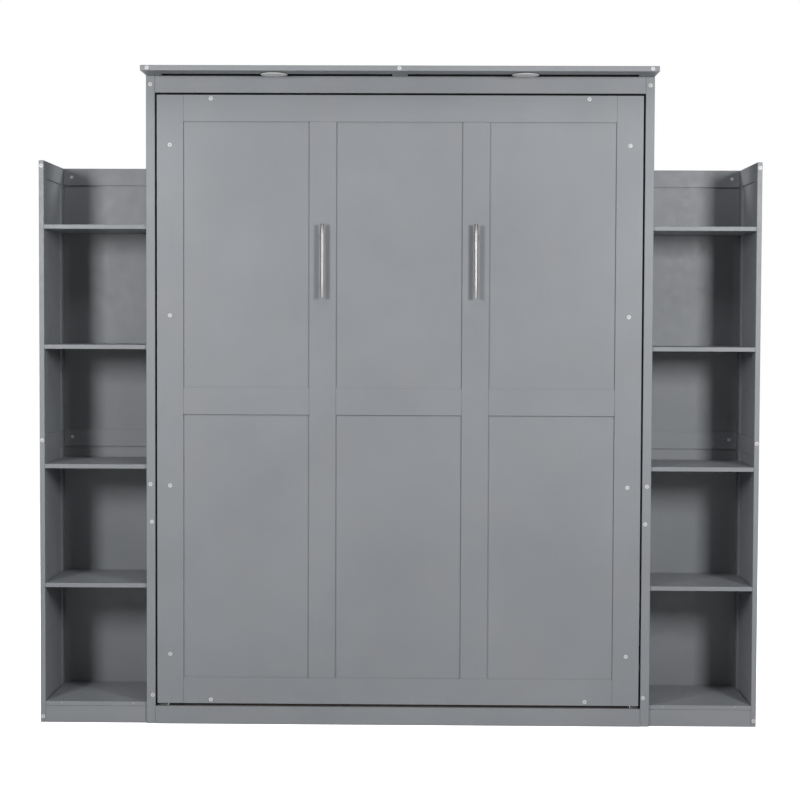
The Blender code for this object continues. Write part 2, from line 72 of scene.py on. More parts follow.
KEY_X = 2.20
KEY_Y = -3.19
KEY_Z = 2.00
KEY_SIZE = (0.55, 0.9)
KEY_POWER = {"left": 73.0, "right": 86.0}
KEY_TARGET = Vector((0.0, -0.1, 1.1))
TOP_PLACE = Vector((0.0, -3.0, 4.4))
TOP_TARGET = Vector((0.0, -0.1, 1.1))
TOP_SIZE = (4.0, 2.0)
TOP_POWER = 51.0
REAR_X = 3.6
REAR_Y = 3.0
REAR_Z = 4.2
REAR_SIZE = (1.6, 1.6)
REAR_POWER = 165.0
REAR_TARGET = Vector((0.0, 0.2, 1.1))
FILL = 0.01  # strength of the surroundings, except where the camera sees them
FLOOR_RADIUS = 30.0
FLOOR_HEIGHT = -0.0008
BOUNCE_RADIUS = 4.5
BOUNCE_HEIGHT = -0.0012
UNDER_BED_HEIGHT = -0.0004
# grey of the floor patch under the bed: painted shade, so the gap under the door looks dark
UNDER_BED_SHADE_TONE = 0.30


# ---- node graphs ---------------------------------------------------------------------------------
NO_OFFSET = (0.0, 0.0, 0.0)


class Graph:
    """A short way to write a material's nodes."""

    def __init__(self, name):
        self.material = bpy.data.materials.new(name)
        self.material.use_nodes = True
        self.tree = self.material.node_tree
        self.tree.nodes.clear()
        self.shader = self.tree.nodes.new("ShaderNodeBsdfPrincipled")
        output = self.tree.nodes.new("ShaderNodeOutputMaterial")
        self.link(self.shader.outputs["BSDF"], output.inputs["Surface"])
        self.coordinates = self.tree.nodes.new("ShaderNodeTexCoord").outputs["Object"]

    def link(self, source, target):
        self.tree.links.new(source, target)

    def feed(self, socket, source):
        self.link(source, self.shader.inputs[socket])

    def node(self, kind, inputs=None, **settings):
        made = self.tree.nodes.new(kind)
        for key, value in settings.items():
            setattr(made, key, value)
        for key, value in (inputs or {}).items():
            if isinstance(value, bpy.types.NodeSocket):
                self.link(value, made.inputs[key])
            else:
                made.inputs[key].default_value = value
        return made

    def scaled(self, scale, offset=NO_OFFSET):
        inputs = {"Vector": self.coordinates, "Scale": scale, "Location": offset}
        return self.node("ShaderNodeMapping", inputs).outputs["Vector"]

    def noise(self, scale, detail=2.0, roughness=0.5, stretch=(1.0, 1.0, 1.0), offset=NO_OFFSET):
        vector = self.scaled(stretch, offset)
        inputs = {"Vector": vector, "Scale": scale, "Detail": detail, "Roughness": roughness}
        return self.node("ShaderNodeTexNoise", inputs).outputs["Fac"]

    def spots(self, stretch, inner, outer):
        """1 inside scattered small rounds, such as knots, and 0 outside them."""
        inputs = {"Vector": self.scaled(stretch), "Scale": 1.0}
        distance = self.node("ShaderNodeTexVoronoi", inputs).outputs["Distance"]
        return self.ramp(distance, inner, outer, 1.0, 0.0)

    def ramp(self, source, low, high, to_low=0.0, to_high=1.0):
        inputs = {"Value": source, "From Min": low, "From Max": high}
        inputs.update({"To Min": to_low, "To Max": to_high})
        return self.node("ShaderNodeMapRange", inputs).outputs["Result"]

    def math(self, operation, first, second):
        return self.node("ShaderNodeMath", {0: first, 1: second}, operation=operation).outputs[0]

    def mix(self, factor, first, second, blend="MIX"):
        made = self.node("ShaderNodeMix", data_type="RGBA", blend_type=blend)
        for index, value in ((0, factor), (6, first), (7, second)):
            if isinstance(value, bpy.types.NodeSocket):
                self.link(value, made.inputs[index])
            else:
                made.inputs[index].default_value = value
        return made.outputs[2]

    def edges(self, radius):
        """Near 1 on edges and in corners within the radius, 0 on flat faces."""
        soft = self.node("ShaderNodeBevel", {"Radius": radius}, samples=4).outputs["Normal"]
        flat = self.node("ShaderNodeNewGeometry").outputs["True Normal"]
        dot = self.node("ShaderNodeVectorMath", {0: soft, 1: flat}, operation="DOT_PRODUCT")
        return self.ramp(dot.outputs["Value"], 0.995, 0.85)

    def bump(self, height, strength, distance):
        inputs = {"Height": height, "Strength": strength, "Distance": distance}
        return self.node("ShaderNodeBump", inputs).outputs["Normal"]


def colour(red, green, blue):
    return (red, green, blue, 1.0)


def faded(tone, share):
    """A darker colour: a share of each part of the tone."""
    return tuple(share * v for v in tone) + (1.0,)


def grained(along, length=7.0, across=330.0):
    """Texture stretch for fibres that run along one axis."""
    return tuple(length if axis == along else across for axis in range(3))


PAINT_DARK = colour(0.222, 0.233, 0.250)
PAINT_LIGHT = colour(0.256, 0.268, 0.284)
PAINT_WARM = colour(0.255, 0.255, 0.270)
# paler colour on board edges: partly wear, partly painted highlight where edges catch the light
PAINT_WEAR_AND_HIGHLIGHT_EDGE = colour(0.33, 0.345, 0.36)
PAINT_FIBRE = colour(0.12, 0.13, 0.135)
PAINT_GRAIN = 0.5


def make_paint(name, along):
    """Satin paint over board: faint fibres, orange peel, slow mottling and paler edges, partly wear
    and partly painted highlight.
    """
    g = Graph(name)
    fibres = g.noise(1.0, 3.0, 0.6, grained(along))
    slow = g.noise(2.6, 3.0, 0.55)
    tint = g.noise(4.4, 2.0, 0.5, offset=(3.1, 1.7, 5.3))
    peel = g.noise(620.0, 2.0, 0.5)
    base = g.mix(g.ramp(slow, 0.3, 0.7), PAINT_DARK, PAINT_LIGHT)
    base = g.mix(g.ramp(tint, 0.45, 0.8, 0.0, 0.45), base, PAINT_WARM)
    base = g.mix(g.ramp(fibres, 0.25, 0.75, 0.14 * PAINT_GRAIN, 0.0), base, PAINT_FIBRE)
    # paler edges: partly wear, partly painted highlight
    base = g.mix(g.math("MULTIPLY", g.edges(0.0016), 0.35), base, PAINT_WEAR_AND_HIGHLIGHT_EDGE)
    g.feed("Base Color", base)
    g.feed("Roughness", g.ramp(g.noise(38.0, 4.0, 0.6), 0.3, 0.7, 0.40, 0.52))
    coarse = g.math("MULTIPLY", fibres, PAINT_GRAIN)
    height = g.math("ADD", coarse, g.math("MULTIPLY", peel, 0.35))
    g.feed("Normal", g.bump(height, 0.22, 0.0004))
    g.shader.inputs["IOR"].default_value = 1.48
    return g.material


STEEL_DARK = colour(0.235, 0.23, 0.224)
STEEL_LIGHT = colour(0.36, 0.354, 0.346)
STEEL_STREAK = colour(0.17, 0.166, 0.16)


def make_steel(name):
    """Brushed stainless steel, with fine scratches across Z, so they run round an upright bar."""
    g = Graph(name)
    lines = g.noise(1.0, 4.0, 0.7, (60.0, 60.0, 5200.0))
    streaks = g.noise(1.0, 2.0, 0.5, (25.0, 25.0, 900.0))
    shade = g.mix(g.ramp(lines, 0.3, 0.7), STEEL_DARK, STEEL_LIGHT)
    shade = g.mix(g.ramp(streaks, 0.35, 0.7, 0.0, 0.25), shade, STEEL_STREAK)
    g.feed("Base Color", shade)
    g.shader.inputs["Metallic"].default_value = 1.0
    g.feed("Roughness", g.ramp(lines, 0.25, 0.75, 0.34, 0.48))
    g.feed("Normal", g.bump(lines, 0.12, 0.0001))
    return g.material


def make_cap_plastic(name, tone):
    """Glossy moulded plastic with faint swirls and scuffs."""
    g = Graph(name)
    swirl = g.noise(160.0, 3.0, 0.6)
    g.feed("Base Color", g.mix(g.ramp(swirl, 0.3, 0.7), faded(tone, 0.86), colour(*tone)))
    g.feed("Roughness", g.ramp(g.noise(420.0, 2.0), 0.3, 0.7, 0.26, 0.40))
    g.feed("Normal", g.bump(g.noise(900.0, 2.0), 0.05, 0.0002))
    return g.material


def make_powder_coat(name, tone, roughness=(0.42, 0.58)):
    """Powder-coated metal: fine texture, paler at its worn edges."""
    g = Graph(name)
    fine = g.noise(1500.0, 2.0, 0.6)
    patches = g.ramp(g.noise(22.0, 3.0), 0.3, 0.7)
    base = g.mix(patches, faded(tone, 0.8), colour(*tone))
    base = g.mix(g.math("MULTIPLY", g.edges(0.0009), 0.3), base, colour(0.32, 0.32, 0.33))
    g.feed("Base Color", base)
    g.feed("Roughness", g.ramp(fine, 0.3, 0.7, *roughness))
    g.feed("Normal", g.bump(fine, 0.25, 0.0002))
    return g.material


def make_slat_wood(name):
    """Planed pale softwood, with growth lines along each slat, small knots and fine pores."""
    g = Graph(name)
    rings = g.noise(1.0, 4.0, 0.65, grained(0, 2.2, 95.0))
    pores = g.noise(1.0, 2.0, 0.6, grained(0, 30.0, 1500.0))
    board = g.noise(1.0, 1.0, 0.4, (0.35, 0.35, 9.0), offset=(4.0, 2.0, 1.0))
    late, early = colour(0.50, 0.33, 0.175), colour(0.70, 0.52, 0.315)
    base = g.mix(g.ramp(rings, 0.34, 0.66), late, early)
    base = g.mix(g.ramp(board, 0.35, 0.7, 0.0, 0.35), base, colour(0.60, 0.46, 0.30))
    base = g.mix(g.ramp(pores, 0.55, 0.8, 0.0, 0.35), base, colour(0.33, 0.20, 0.10))
    base = g.mix(g.spots((2.6, 0.4, 6.5), 0.035, 0.085), base, colour(0.20, 0.10, 0.045))
    g.feed("Base Color", base)
    g.feed("Roughness", g.ramp(rings, 0.3, 0.7, 0.62, 0.48))
    height = g.math("ADD", g.math("MULTIPLY", rings, 0.6), g.math("MULTIPLY", pores, -0.4))
    g.feed("Normal", g.bump(height, 0.35, 0.0004))
    return g.material


def make_webbing(name, tone):
    """Woven strap: ribs across, twill along, a little fuzz."""
    g = Graph(name)
    waves = []
    for direction, scale in (("Z", 130.0), ("X", 210.0)):
        inputs = {"Vector": g.scaled((1.0, 1.0, 1.0)), "Scale": scale}
        waves.append(g.node("ShaderNodeTexWave", inputs, bands_direction=direction).outputs["Fac"])
    weave = g.math("MULTIPLY", *waves)
    fuzz = g.noise(2600.0, 2.0)
    base = g.mix(weave, faded(tone, 0.45), colour(*tone))
    g.feed("Base Color", g.mix(g.ramp(fuzz, 0.4, 0.8, 0.0, 0.25), base, colour(0.30, 0.30, 0.30)))
    g.shader.inputs["Roughness"].default_value = 0.85
    g.feed("Normal", g.bump(weave, 0.6, 0.0004))
    return g.material


def make_shade_felt(name):
    """Matted black felt with loose hairs, used as painted shade: a dark sheet put where slots and
    gaps would only be in shade.
    """
    g = Graph(name)
    hairs = g.noise(1900.0, 4.0, 0.7)
    mats = g.noise(240.0, 3.0, 0.6)
    # near-black felt colours: painted shade for the crown slot and the door gaps
    ground, hair = colour(0.008, 0.008, 0.009), colour(0.030, 0.030, 0.032)
    base = g.mix(g.ramp(hairs, 0.45, 0.8, 0.0, 0.5), ground, hair)
    base = g.mix(g.ramp(mats, 0.3, 0.7, 0.0, 0.6), base, colour(0.004, 0.004, 0.004))
    g.feed("Base Color", base)
    g.shader.inputs["Roughness"].default_value = 0.95
    g.shader.inputs["Specular IOR Level"].default_value = 0.15
    g.feed("Normal", g.bump(g.math("ADD", hairs, mats), 0.8, 0.0005))
    return g.material


def make_lens_plastic(name):
    """Frosted diffuser: fine pebble texture and a faint haze."""
    g = Graph(name)
    pebble = g.noise(1400.0, 2.0, 0.6)
    haze = g.noise(70.0, 3.0, 0.6)
    base = g.mix(g.ramp(haze, 0.3, 0.7), colour(0.86, 0.86, 0.85), colour(0.93, 0.93, 0.92))
    g.feed("Base Color", base)
    g.feed("Roughness", g.ramp(pebble, 0.3, 0.7, 0.45, 0.62))
    g.feed("Normal", g.bump(pebble, 0.3, 0.0002))
    return g.material


def make_floor_material(name, glow, tone):
    """Pale plain floor; with a glow of 1 it looks pure white."""
    g = Graph(name)
    paler = colour(*[1.05 * tone] * 3)
    g.feed("Base Color", g.mix(g.noise(0.4, 2.0), colour(tone, tone, tone), paler))
    g.shader.inputs["Roughness"].default_value = 0.9
    g.shader.inputs["Specular IOR Level"].default_value = 0.0
    g.shader.inputs["Emission Color"].default_value = colour(1.0, 1.0, 1.0)
    g.shader.inputs["Emission Strength"].default_value = glow
    return g.material


def make_floor(name, outline, height, glow, tone=0.78):
    bm = bmesh.new()
    bm.faces.new([bm.verts.new((x, y, height)) for x, y in outline])
    floor = finish_mesh(name, bm, make_floor_material(name, glow, tone))
    return floor


def arc(radius, start, end, steps=48):
    """Points round the middle of the floor between two angles in degrees."""
    angles = [math.radians(start + (end - start) * step / steps) for step in range(steps + 1)]
    return [(radius * math.cos(a), radius * math.sin(a)) for a in angles]


# ---- shapes --------------------------------------------------------------------------------------
def finish_mesh(name, bm, *materials, smooth_angle=35.0):
    bmesh.ops.recalc_face_normals(bm, faces=bm.faces)
    mesh = bpy.data.meshes.new(name)
    bm.to_mesh(mesh)
    bm.free()
    for material in materials:
        mesh.materials.append(material)
    mesh.shade_smooth()
    mesh.set_sharp_from_angle(angle=math.radians(smooth_angle))
    obj = bpy.data.objects.new(name, mesh)
    bpy.context.scene.collection.objects.link(obj)
    return obj


def add_turned(bm, profile, place, axis, segments=24, finish=0):
    """Adds a solid turned from (radius, height) points, closed on the axis at both ends."""
    turn = UP.rotation_difference(axis).to_matrix().to_4x4()
    matrix = Matrix.Translation(place) @ turn
    rings = []
    for radius, height in profile:
        if radius == 0.0:
            rings.append([bm.verts.new(matrix @ Vector((0.0, 0.0, height)))])
            continue
        angles = [2.0 * math.pi * step / segments for step in range(segments)]
        points = [Vector((radius * math.cos(a), radius * math.sin(a), height)) for a in angles]
        rings.append([bm.verts.new(matrix @ point) for point in points])
    for lower, upper in zip(rings, rings[1:]):
        for step in range(segments):
            after = (step + 1) % segments
            if len(lower) == 1:
                face = bm.faces.new((lower[0], upper[after], upper[step]))
            elif len(upper) == 1:
                face = bm.faces.new((lower[step], lower[after], upper[0]))
            else:
                face = bm.faces.new((lower[step], lower[after], upper[after], upper[step]))
            face.material_index = finish


def add_ring(bm, loop, place, axis, segments=64):
    """Adds a ring turned about an axis from a closed loop of (radius, height) points."""
    turn = UP.rotation_difference(axis).to_matrix().to_4x4()
    matrix = Matrix.Translation(place) @ turn
    columns = []
    for step in range(segments):
        angle = 2.0 * math.pi * step / segments
        points = [Vector((r * math.cos(angle), r * math.sin(angle), h)) for r, h in loop]
        columns.append([bm.verts.new(matrix @ point) for point in points])
    for step, column in enumerate(columns):
        other = columns[(step + 1) % segments]
        for index in range(len(loop)):
            after = (index + 1) % len(loop)
            bm.faces.new((column[index], column[after], other[after], other[index]))


def rounded_section(half_wide, half_high, radius, steps=3):
    """Points round a rectangle with round corners, about the middle."""
    points = []
    for turn, (across, up) in enumerate(((1, 1), (-1, 1), (-1, -1), (1, -1))):
        centre = Vector((across * (half_wide - radius), up * (half_high - radius)))
        for step in range(steps + 1):
            angle = math.radians(90.0 * turn + 90.0 * step / steps)
            points.append(centre + radius * Vector((math.cos(angle), math.sin(angle))))
    return points


def add_swept(bm, sections):
    """Adds a closed bar through rings of points, all with the same number of points."""
    rings = [[bm.verts.new(point) for point in section] for section in sections]
    count = len(rings[0])
    for lower, upper in zip(rings, rings[1:]):
        for index in range(count):
            after = (index + 1) % count
            bm.faces.new((lower[index], lower[after], upper[after], upper[index]))
    bm.faces.new(rings[0])
    bm.faces.new(rings[-1])


def cap_profile(radius, proud, sunk=0.003):
    """A push-in screw cap: a stem in the board, a soft rim, a low dome and a dimple."""
    return [
        (0.0, -sunk),
        (0.55 * radius, -sunk),
        (0.55 * radius, 0.0),
        (0.94 * radius, 0.0),
        (radius, 0.35 * proud),
        (0.95 * radius, 0.75 * proud),
        (0.80 * radius, proud),
        (0.38 * radius, proud),
        (0.30 * radius, 0.50 * proud),
        (0.28 * radius, 0.10 * proud),
        (0.0, 0.10 * proud),
    ]


def socket_profile(radius, proud):
    """The socket in the middle of a cap; where it gets the darker socket plastic, that is painted
    shade in the dimple.
    """
    return [
        (0.0, 0.05 * proud),
        (0.275 * radius, 0.05 * proud),
        (0.275 * radius, 0.28 * proud),
        (0.20 * radius, 0.20 * proud),
        (0.0, 0.20 * proud),
    ]


def add_caps(name, body, places, direction, radius, proud, plastic, socket):
    bm = bmesh.new()
    for place in places:
        add_turned(bm, cap_profile(radius, proud), Vector(place), direction, 28)
        add_turned(bm, socket_profile(radius, proud), Vector(place), direction, 16, finish=1)
    obj = finish_mesh(name, bm, plastic, socket)
    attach(obj, body)


# (radius, how far it stands out) of each size of cap
CAP = (0.0072, 0.0012)
CROWN_CAP = (0.0068, 0.0004)
BACK_CAP = (0.0062, 0.0010)
BOTTOM_CAP = (0.0036, 0.0008)
CROWN_CAP_XS = (-0.840, 0.0, 0.840)
CABINET_CAP_ZS = (2.188, 0.826, 0.697, 0.099)
CABINET_CAP_SHIFTS = (0.0, 0.001, -0.004, -0.006)  # outward from the middle of the edge
TOWER_CAP_ZS = (1.912, 0.974, 0.020)
BACK_CAP_X = 1.185
BACK_CAP_ZS = (1.900, 0.965)
BOTTOM_CAP_XS = (1.158, 0.911)
BOTTOM_CAP_DROP = 0.0045  # below the board's top
DOOR_RAIL_CAP_X = 0.642
DOOR_RAIL_CAP_ZS = (2.141, 0.084)
DOOR_STILE_CAP_X = 0.782
DOOR_STILE_CAP_ZS = (1.984, 1.404, 0.822, 0.241)


def make_tower_caps(word, side, plastic, lit_cap_plastic, shaded_cap_plastic, socket):
    low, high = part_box(f"tower_{word}_side")
    x = (low.x + high.x) / 2.0
    places = [(x, low.y, z) for z in TOWER_CAP_ZS]
    add_caps(f"screw_caps_tower_{word}", "root", places, FRONT, *CAP, plastic, socket)
    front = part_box(f"tower_{word}_back")[0].y
    # the back caps get a paler copy of the cap plastic: painted light, so they stand out of the
    # shade
    places = [(side * BACK_CAP_X, front, z) for z in BACK_CAP_ZS]
    add_caps(f"screw_caps_back_{word}", "root", places, FRONT, *BACK_CAP, lit_cap_plastic, lit_cap_plastic)
    low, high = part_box(f"tower_{word}_bottom")
    places = [(side * x, low.y, high.z - BOTTOM_CAP_DROP) for x in BOTTOM_CAP_XS]
    # the bottom caps get a darker copy of the cap plastic: painted shade
    add_caps(f"screw_caps_bottom_{word}", "root", places, FRONT, *BOTTOM_CAP, shaded_cap_plastic, shaded_cap_plastic)


def make_all_caps(plastic, lit_cap_plastic, shaded_cap_plastic, socket):
    """Caps over the screws, where the boards meet."""
    low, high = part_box("crown_board")
    places = [(x, low.y, (low.z + high.z) / 2.0) for x in CROWN_CAP_XS]
    add_caps("screw_caps_crown", "root", places, FRONT, *CROWN_CAP, plastic, socket)
    for word, side in SIDES:
        low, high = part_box(f"cabinet_side_{word}")
        x = (low.x + high.x) / 2.0
        rows = zip(CABINET_CAP_ZS, CABINET_CAP_SHIFTS)
        places = [(x + side * outward, low.y, z) for z, outward in rows]
        add_caps(f"screw_caps_cabinet_{word}", "root", places, FRONT, *CAP, plastic, socket)
        make_tower_caps(word, side, plastic, lit_cap_plastic, shaded_cap_plastic, socket)
    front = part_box("door_stile_left")[0].y
    door = [(side * DOOR_RAIL_CAP_X, front, z) for _, side in SIDES for z in DOOR_RAIL_CAP_ZS]
    door += [(side * DOOR_STILE_CAP_X, front, z) for _, side in SIDES for z in DOOR_STILE_CAP_ZS]
    add_caps("screw_caps_door", "bed", door, FRONT, *CAP, plastic, socket)


HANDLE_EASE = 0.0012
POST_OFFSETS = (-0.080, 0.080)


def make_handles(steel):
    """Round bar pulls with eased ends, on waisted posts with a collar against the door."""
    for word, _ in SIDES:
        node = f"handle_{word}"
        low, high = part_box(node)
        radius = (high.x - low.x) / 2.0
        x = (low.x + high.x) / 2.0
        bar_y = low.y + radius
        length = high.z - low.z
        bm = bmesh.new()
        end = HANDLE_EASE
        bar = [(0.0, 0.0), (radius - end, 0.0), (radius - 0.35 * end, 0.35 * end), (radius, end)]
        bar += [(radius, length * step / 6.0) for step in range(1, 6)]
        bar += [(radius, length - end), (radius - 0.35 * end, length - 0.35 * end)]
        bar += [(radius - end, length), (0.0, length)]
        add_turned(bm, bar, Vector((x, bar_y, low.z)), UP, 48)
        reach = high.y - bar_y
        post = [
            (0.0, 0.0),
            (0.0062, 0.0),
            (0.0066, 0.0004),
            (0.0066, 0.0016),
            (0.0050, 0.0026),
            (0.0046, 0.5 * reach),
            (0.0050, reach - 0.006),
            (0.0050, reach - 0.001),
            (0.0, reach - 0.001),
        ]
        middle = (low.z + high.z) / 2.0
        for offset in POST_OFFSETS:
            add_turned(bm, post, Vector((x, high.y, middle + offset)), FRONT, 32)
        obj = finish_mesh(f"bar_pull_{word}", bm, steel)
        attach(obj, "bed")
        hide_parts(node)


# ---- bed base ------------------------------------------------------------------------------------
SLAT_COUNT = 14
SLAT_WIDTH = 0.070
SLAT_THICK = 0.0112
SLAT_EDGE = 0.0035
STRAP_XS = (-0.45, 0.0, 0.45)
STRAP_WIDTH = 0.030


def slat_rows():
    low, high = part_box("slat_deck")
    pitch = (high.z - low.z - SLAT_WIDTH) / (SLAT_COUNT - 1)
    return [low.z + SLAT_WIDTH / 2.0 + index * pitch for index in range(SLAT_COUNT)]


def make_slats(wood):
    """Planed slats with eased edges; each one is a little warped in its own way."""
    low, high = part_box("slat_deck")
    draw = random.Random(7)
    face = high.y - 0.0003
    bm = bmesh.new()
    for z in slat_rows():
        twist = draw.uniform(-0.0003, 0.0003)
        bow = draw.uniform(-0.0004, 0.0)
        inset = draw.uniform(0.0, 0.0008)
        section = rounded_section(SLAT_WIDTH / 2.0 - 0.0003, SLAT_THICK / 2.0, SLAT_EDGE)
        sections = []
        for step in range(17):
            share = step / 16.0
            x = low.x + inset + share * (high.x - low.x - 2.0 * inset)
            arch = bow * math.sin(math.pi * share)
            ring = []
            for across, up in section:
                turn = twist * math.cos(math.pi * share) * across / (SLAT_WIDTH / 2.0)
                y = face - SLAT_THICK / 2.0 + up + arch + turn
                ring.append((x, min(y, high.y), z + across))
            sections.append(ring)
        add_swept(bm, sections)
    slats = finish_mesh("bed_slats", bm, wood, smooth_angle=40.0)
    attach(slats, "bed")
    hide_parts("slat_deck")


def make_straps(webbing):
    """Three straps under the slats, drawn slightly up between them."""
    rows = slat_rows()
    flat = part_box("slat_deck")[0].y + 0.0007
    bm = bmesh.new()
    for x in STRAP_XS:
        stations = []
        for z, after in zip(rows, rows[1:] + [None]):
            stations += [(z - 0.030, 0.0), (z + 0.030, 0.0)]
            if after is not None:
                middle = (z + after) / 2.0
                stations += [(middle - 0.018, 0.0009), (middle + 0.018, 0.0009)]
        section = rounded_section(STRAP_WIDTH / 2.0, 0.0006, 0.0005, steps=2)
        sections = []
        for z, lift in stations:
            sections.append([(x + across, flat + lift + up, z) for across, up in section])
        add_swept(bm, sections)
    straps = finish_mesh("slat_straps", bm, webbing, smooth_angle=60.0)
    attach(straps, "bed")


# ---- fixings -------------------------------------------------------------------------------------
def screw_profile(radius, proud):
    """A low round head with a socket in the middle."""
    return [
        (0.0, -0.002),
        (0.55 * radius, -0.002),
        (0.55 * radius, 0.0),
        (0.96 * radius, 0.0),
        (radius, 0.25 * proud),
        (0.86 * radius, 0.72 * proud),
        (0.60 * radius, proud),
        (0.40 * radius, proud),
        (0.32 * radius, 0.35 * proud),
        (0.0, 0.25 * proud),
    ]


def add_screws(name, body, places, direction, radius, proud, material, slot):
    bm = bmesh.new()
    for place in places:
        add_turned(bm, screw_profile(radius, proud), Vector(place), direction, 20)
    obj = finish_mesh(name, bm, material)
    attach(obj, body)


SLAT_SCREW_X = 0.754
SLAT_SCREW_SUNK = 0.0004
SLAT_SCREW = (0.0042, 0.0008)  # radius, how far it stands out
PLATE_SCREW = (0.0034, 0.0010)
BRACKET_SCREW = (0.0040, 0.0012)
PIVOT_PLATE = 0.006  # thickness
STRUT_PLATE = 0.004
PIVOT_SCREW_RING = 0.023
FLANGE_SCREW_RING = 0.019
STRUT_SCREW_OFFSETS = ((0.0, -0.022), (0.0, 0.022))


def screw_ring(radius):
    angles = [math.radians(angle) for angle in (90.0, 210.0, 330.0)]
    return [(radius * math.cos(a), radius * math.sin(a)) for a in angles]


def add_plate_screws(node, name, side, thickness, offsets, size, zinc):
    """Screws on a plate: on the cabinet they face the bed, and on the bed they face the cabinet."""
    low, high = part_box(node)
    centre = (low + high) / 2.0
    if node.startswith(("pivot_bearing", "strut_foot")):
        body, facing = "root", -side * RIGHT
        face = side * (max(abs(low.x), abs(high.x)) - thickness)
    else:
        body, facing = "bed", side * RIGHT
        face = side * (min(abs(low.x), abs(high.x)) + thickness)
    places = [(face, centre.y + dy, centre.z + dz) for dy, dz in offsets]
    add_screws(name, body, places, facing, *size, zinc, "brushed_steel")


def make_fixings(zinc):
    """Screws in the slats, the pivot plates and the strut plates."""
    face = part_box("slat_deck")[1].y - SLAT_SCREW_SUNK
    places = [(side * SLAT_SCREW_X, face, z) for z in slat_rows() for _, side in SIDES]
    places += [(0.0, face, z) for z in slat_rows()]
    add_screws("slat_screws", "bed", places, BACK, *SLAT_SCREW, zinc, "brushed_steel")
    pivot = (PIVOT_PLATE, screw_ring(PIVOT_SCREW_RING), PLATE_SCREW, zinc)
    flange = (PIVOT_PLATE, screw_ring(FLANGE_SCREW_RING), PLATE_SCREW, zinc)
    strut = (STRUT_PLATE, STRUT_SCREW_OFFSETS, BRACKET_SCREW, zinc)
    rows = (
        ("pivot_bearing", "pivot_screws", pivot),
        ("pivot_pin", "flange_screws", flange),
        ("strut_foot_bracket", "strut_foot_screws", strut),
        ("strut_head_bracket", "strut_head_screws", strut),
    )
    for word, side in SIDES:
        for node, name, details in rows:
            add_plate_screws(f"{node}_{word}", f"{name}_{word}", side, *details)


# ---- lights --------------------------------------------------------------------------------------
LENS_HOLE = 0.0366


def make_light_bodies(dark, pale):
    """A dark base under the crown and a bright round bezel that holds the push lens."""
    for word, _ in SIDES:
        node = f"light_housing_{word}"
        low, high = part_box(node)
        centre = (low + high) / 2.0
        radius = (high.x - low.x) / 2.0
        place = Vector((centre.x, centre.y, low.z))
        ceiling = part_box("crown_board")[0].z - low.z - 0.0003
        bm = bmesh.new()
        base = [
            (0.0, 0.0039),
            (LENS_HOLE, 0.0039),
            (radius - 0.0010, 0.0022),
            (radius - 0.0004, 0.0030),
            (radius - 0.0008, ceiling),
            (0.030, ceiling),
            (0.030, high.z - low.z),
            (0.0, high.z - low.z),
        ]
        add_turned(bm, base, place, UP, 64)
        body = finish_mesh(f"puck_base_{word}", bm, dark)
        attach(body, "root")
        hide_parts(node)
        bm = bmesh.new()
        loop = [
            (LENS_HOLE, 0.0036),
            (LENS_HOLE, 0.0006),
            (0.0372, 0.0),
            (radius - 0.0012, 0.0),
            (radius, 0.0008),
            (radius, 0.0020),
            (radius - 0.0008, 0.0024),
        ]
        add_ring(bm, loop, place, UP)
        bezel = finish_mesh(f"puck_bezel_{word}", bm, pale)
        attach(bezel, "root")


# ---- black felt strips: painted shade in the crown slot and the door gaps ------------------------
CROWN_CENTRE_HALF = 0.026
CROWN_END_STILE = 0.055
CROWN_RECESS = 0.012
DOOR_SHADE_STRIP_THICK = 0.0045
SHADE_STRIP_PLAY = 0.0005
SHADE_STRIP_SOFT = 0.0004
SHADE_STRIP_STEPS = 40
SHADE_STRIP_INSET = 0.0010  # of the strips from the top rail's faces
DOOR_SHADE_STRIP_SETBACK = 0.004  # further in, round the door
CROWN_SHADE_STRIP_RADIUS = 0.0025
DOOR_SHADE_STRIP_RADIUS = 0.0018


def add_shade_strip(name, felt, low, high, radius, draw):
    """A soft-edged dark strip of painted shade along the longest side of a box; its thickness
    wanders a little.
    """
    low, high = Vector(low), Vector(high)
    size = high - low
    along = max(range(3), key=lambda axis: size[axis])
    first, second = [axis for axis in range(3) if axis != along]
    centre = (low + high) / 2.0
    bm = bmesh.new()
    sections = []
    for step in range(SHADE_STRIP_STEPS + 1):
        wander = draw.uniform(-SHADE_STRIP_SOFT, 0.0)
        section = []
        for across, up in rounded_section(size[first] / 2.0 + wander, size[second] / 2.0, radius):
            point = centre.copy()
            point[along] = low[along] + size[along] * step / SHADE_STRIP_STEPS
            point[first] += across
            point[second] += up
            section.append(point)
        sections.append(section)
    add_swept(bm, sections)
    strip = finish_mesh(name, bm, felt, smooth_angle=60.0)
    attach(strip, "root")


